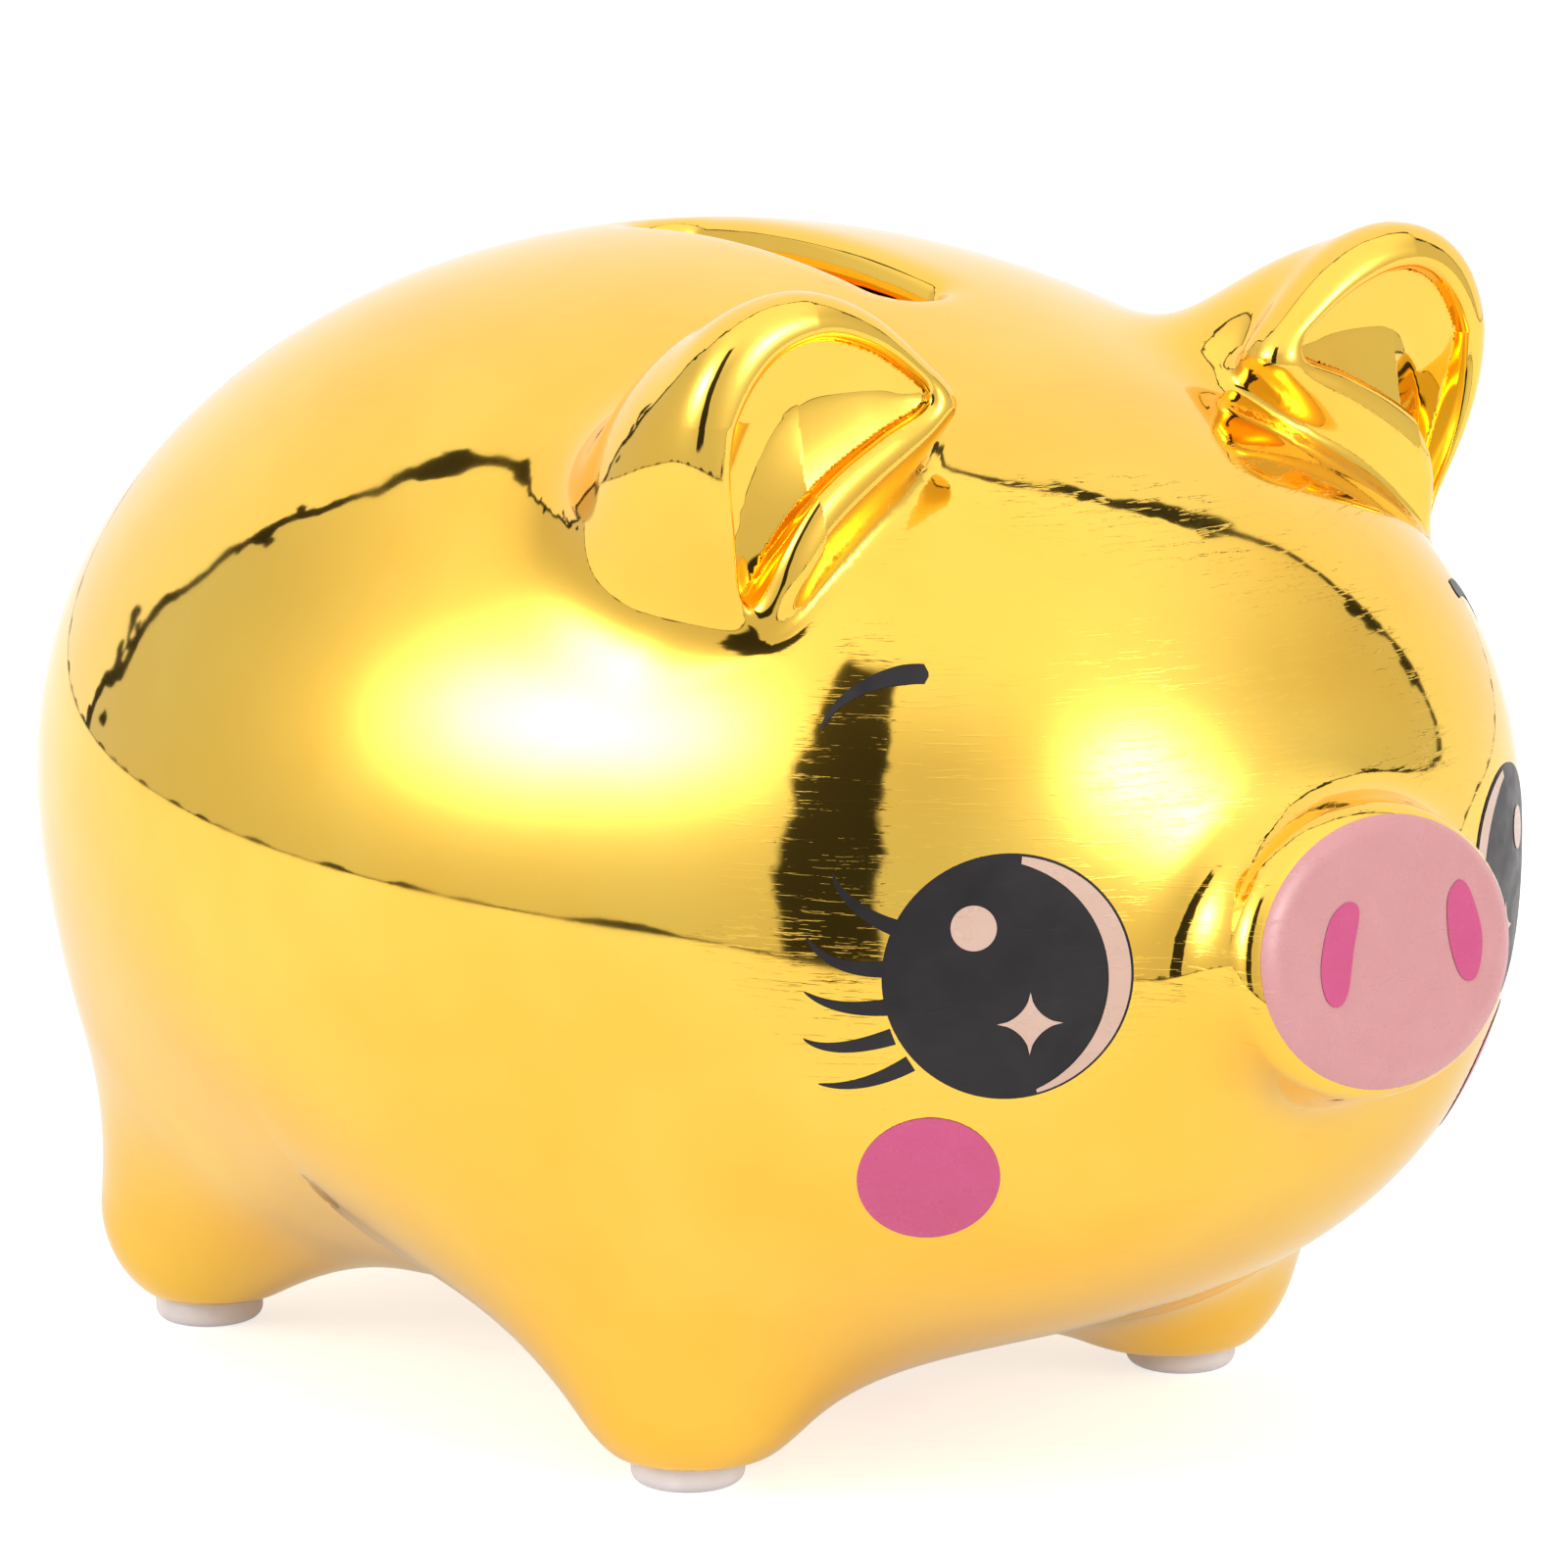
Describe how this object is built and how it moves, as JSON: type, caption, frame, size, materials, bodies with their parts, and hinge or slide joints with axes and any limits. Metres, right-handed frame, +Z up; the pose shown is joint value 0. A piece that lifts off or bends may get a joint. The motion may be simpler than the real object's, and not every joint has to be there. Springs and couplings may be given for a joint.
{
  "type": "piggy bank",
  "caption": "Standing ceramic pig coin bank with a slot in its back, luted ears, a curled tail, printed face and a rubber belly stopper.",
  "frame": {"origin": "on the ground, at the middle of the bank's bounding box seen from above", "axes": "+Z up, the pig faces -Y, +X is the pig's left side"},
  "size_m": [0.1164, 0.1606, 0.1026],
  "materials": {
    "gold_glaze": "mirror gold lustre over glaze",
    "foot_white": "matt white bumper",
    "stopper_rubber": "satin soft rubber",
    "print_pink": "printed transfer, pale pink",
    "print_hot_pink": "printed transfer, strong pink",
    "print_black": "printed transfer, near black",
    "print_glint": "printed transfer, pale highlights of the eye"
  },
  "bodies": {
    "bank": {"body_shell": "gold_glaze", "ear_left": "gold_glaze", "ear_right": "gold_glaze", "tail": "gold_glaze", "foot_pad_front_left": "foot_white", "foot_pad_front_right": "foot_white", "foot_pad_rear_left": "foot_white", "foot_pad_rear_right": "foot_white", "snout_disc": "print_pink", "nostril_left": "print_hot_pink", "nostril_right": "print_hot_pink", "eye_left": "print_black", "eye_right": "print_black", "eye_glint_left": "print_glint", "eye_glint_right": "print_glint", "brow_left": "print_black", "brow_right": "print_black", "cheek_left": "print_hot_pink", "cheek_right": "print_hot_pink"},
    "plug": {"stopper": "stopper_rubber"}
  },
  "joints": [
    {"name": "stopper_pull", "type": "slide", "parent": "bank", "child": "plug", "axis": [0, 0, -1], "range_m": [0, 0.03]}
  ]
}
